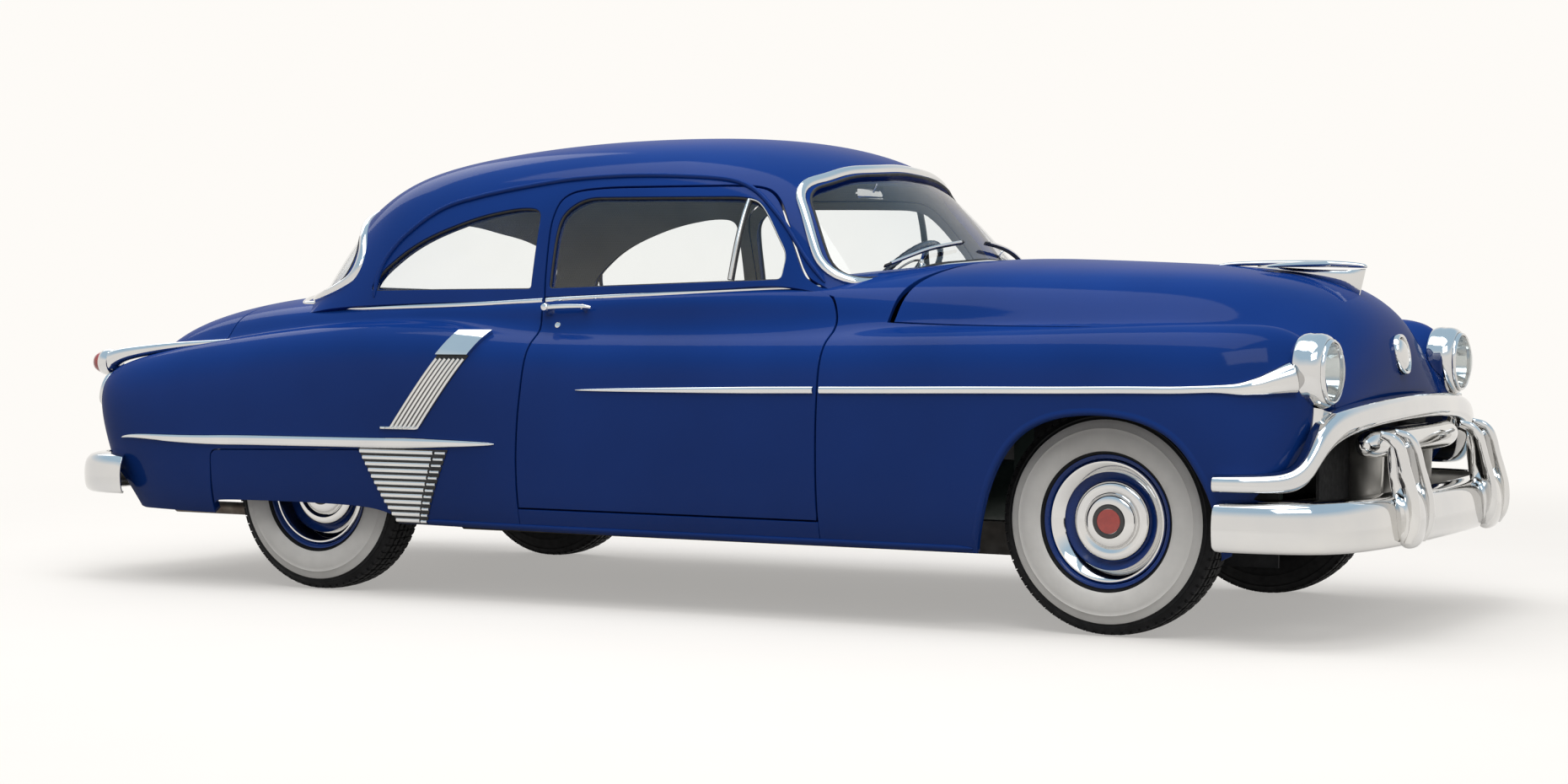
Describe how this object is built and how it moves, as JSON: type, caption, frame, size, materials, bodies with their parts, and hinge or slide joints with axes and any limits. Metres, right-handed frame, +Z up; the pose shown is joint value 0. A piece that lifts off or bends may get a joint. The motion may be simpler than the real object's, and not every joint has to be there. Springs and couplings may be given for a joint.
{
  "type": "two-door sedan car",
  "caption": "Two-door sedan of the early 1950s with round fenders, chrome bumpers, wide pale tyre bands and rear wheel skirts; wheels, steering, doors, hood and trunk lid move.",
  "frame": {"origin": "on the floor under the middle of the car's box", "axes": "+X towards the car's nose, +Y to the car's left, +Z up"},
  "size_m": [5.13, 1.924, 1.6177],
  "materials": {
    "body_paint": "high gloss deep blue enamel",
    "chrome": "bright plated",
    "window_glass": "clear",
    "lamp_glass": "fluted clear",
    "tail_lens": "red",
    "tyre_rubber": "matte black with a wide pale sidewall band",
    "wheel_paint": "gloss blue",
    "chassis_paint": "satin black",
    "engine_iron": "painted casting",
    "exhaust_steel": "dull",
    "seat_cloth": "woven, grey",
    "dash_paint": "semi-gloss grey",
    "steering_plastic": "gloss"
  },
  "bodies": {
    "car": {"cowl": "body_paint", "dashboard": "dash_paint", "driveline": "chassis_paint", "engine_block": "engine_iron", "exhaust": "exhaust_steel", "fender_skirts": "body_paint", "firewall": "chassis_paint", "floor_pan": "chassis_paint", "frame": "chassis_paint", "front_bumper": "chrome", "front_fenders": "body_paint", "front_seat": "seat_cloth", "front_suspension": "chassis_paint", "fuel_tank": "chassis_paint", "grille": "chrome", "headlights": "lamp_glass", "hinge_brackets": "chassis_paint", "quarter_glass": "window_glass", "quarter_panels": "body_paint", "rear_axle": "chassis_paint", "rear_bumper": "chrome", "rear_glass": "window_glass", "rear_seat": "seat_cloth", "rear_shelf": "body_paint", "rocker_panels": "body_paint", "roof_shell": "body_paint", "steering_column": "dash_paint", "tail_lights": "tail_lens", "tail_panel": "body_paint", "wheel_houses": "chassis_paint", "windshield_glass": "window_glass"},
    "door_right_body": {"door_right": "body_paint", "door_glass_right": "window_glass"},
    "door_left_body": {"door_left": "body_paint", "door_glass_left": "window_glass"},
    "hood_body": {"hood": "body_paint", "hood_ornament": "chrome"},
    "deck_lid_body": {"deck_lid": "body_paint"},
    "knuckle_right_body": {"knuckle_right": "chassis_paint"},
    "knuckle_left_body": {"knuckle_left": "chassis_paint"},
    "steering_wheel_body": {"steering_wheel": "steering_plastic"},
    "wheel_front_left_body": {"wheel_front_left": "wheel_paint", "tyre_front_left": "tyre_rubber"},
    "wheel_front_right_body": {"wheel_front_right": "wheel_paint", "tyre_front_right": "tyre_rubber"},
    "wheel_rear_left_body": {"wheel_rear_left": "wheel_paint", "tyre_rear_left": "tyre_rubber"},
    "wheel_rear_right_body": {"wheel_rear_right": "wheel_paint", "tyre_rear_right": "tyre_rubber"}
  },
  "joints": [
    {"name": "steer_left", "type": "hinge", "parent": "car", "child": "knuckle_left_body", "pos_m": [1.66, 0.65, 0.358], "axis": [0, 0, 1], "range_deg": [-30, 30]},
    {"name": "steer_right", "type": "hinge", "parent": "car", "child": "knuckle_right_body", "pos_m": [1.66, -0.65, 0.358], "axis": [0, 0, 1], "range_deg": [-30, 30]},
    {"name": "steering_wheel_turn", "type": "hinge", "parent": "car", "child": "steering_wheel_body", "pos_m": [0.345, 0.38, 1.08], "axis": [-0.7634, 0, 0.6459], "range_deg": [-540, 540]},
    {"name": "wheel_front_left_spin", "type": "hinge", "parent": "knuckle_left_body", "child": "wheel_front_left_body", "pos_m": [1.66, 0.725, 0.358], "axis": [0, 1, 0], "continuous": true},
    {"name": "wheel_front_right_spin", "type": "hinge", "parent": "knuckle_right_body", "child": "wheel_front_right_body", "pos_m": [1.66, -0.725, 0.358], "axis": [0, 1, 0], "continuous": true},
    {"name": "wheel_rear_left_spin", "type": "hinge", "parent": "car", "child": "wheel_rear_left_body", "pos_m": [-1.375, 0.75, 0.358], "axis": [0, 1, 0], "continuous": true},
    {"name": "wheel_rear_right_spin", "type": "hinge", "parent": "car", "child": "wheel_rear_right_body", "pos_m": [-1.375, -0.75, 0.358], "axis": [0, 1, 0], "continuous": true},
    {"name": "door_right_hinge", "type": "hinge", "parent": "car", "child": "door_right_body", "pos_m": [0.7, -0.935, 0.69], "axis": [0, 0, 1], "range_deg": [0, 65]},
    {"name": "door_left_hinge", "type": "hinge", "parent": "car", "child": "door_left_body", "pos_m": [0.7, 0.935, 0.69], "axis": [0, 0, -1], "range_deg": [0, 65]},
    {"name": "hood_hinge", "type": "hinge", "parent": "car", "child": "hood_body", "pos_m": [0.89, 0, 1.2], "axis": [0, -1, 0], "range_deg": [0, 50]},
    {"name": "deck_lid_hinge", "type": "hinge", "parent": "car", "child": "deck_lid_body", "pos_m": [-1.85, 0, 1.075], "axis": [0, 1, 0], "range_deg": [0, 60]}
  ],
  "couplings": [
    {"joint": "steer_right", "follows": "steer_left", "ratio": 1},
    {"joint": "steering_wheel_turn", "follows": "steer_left", "ratio": 18}
  ]
}
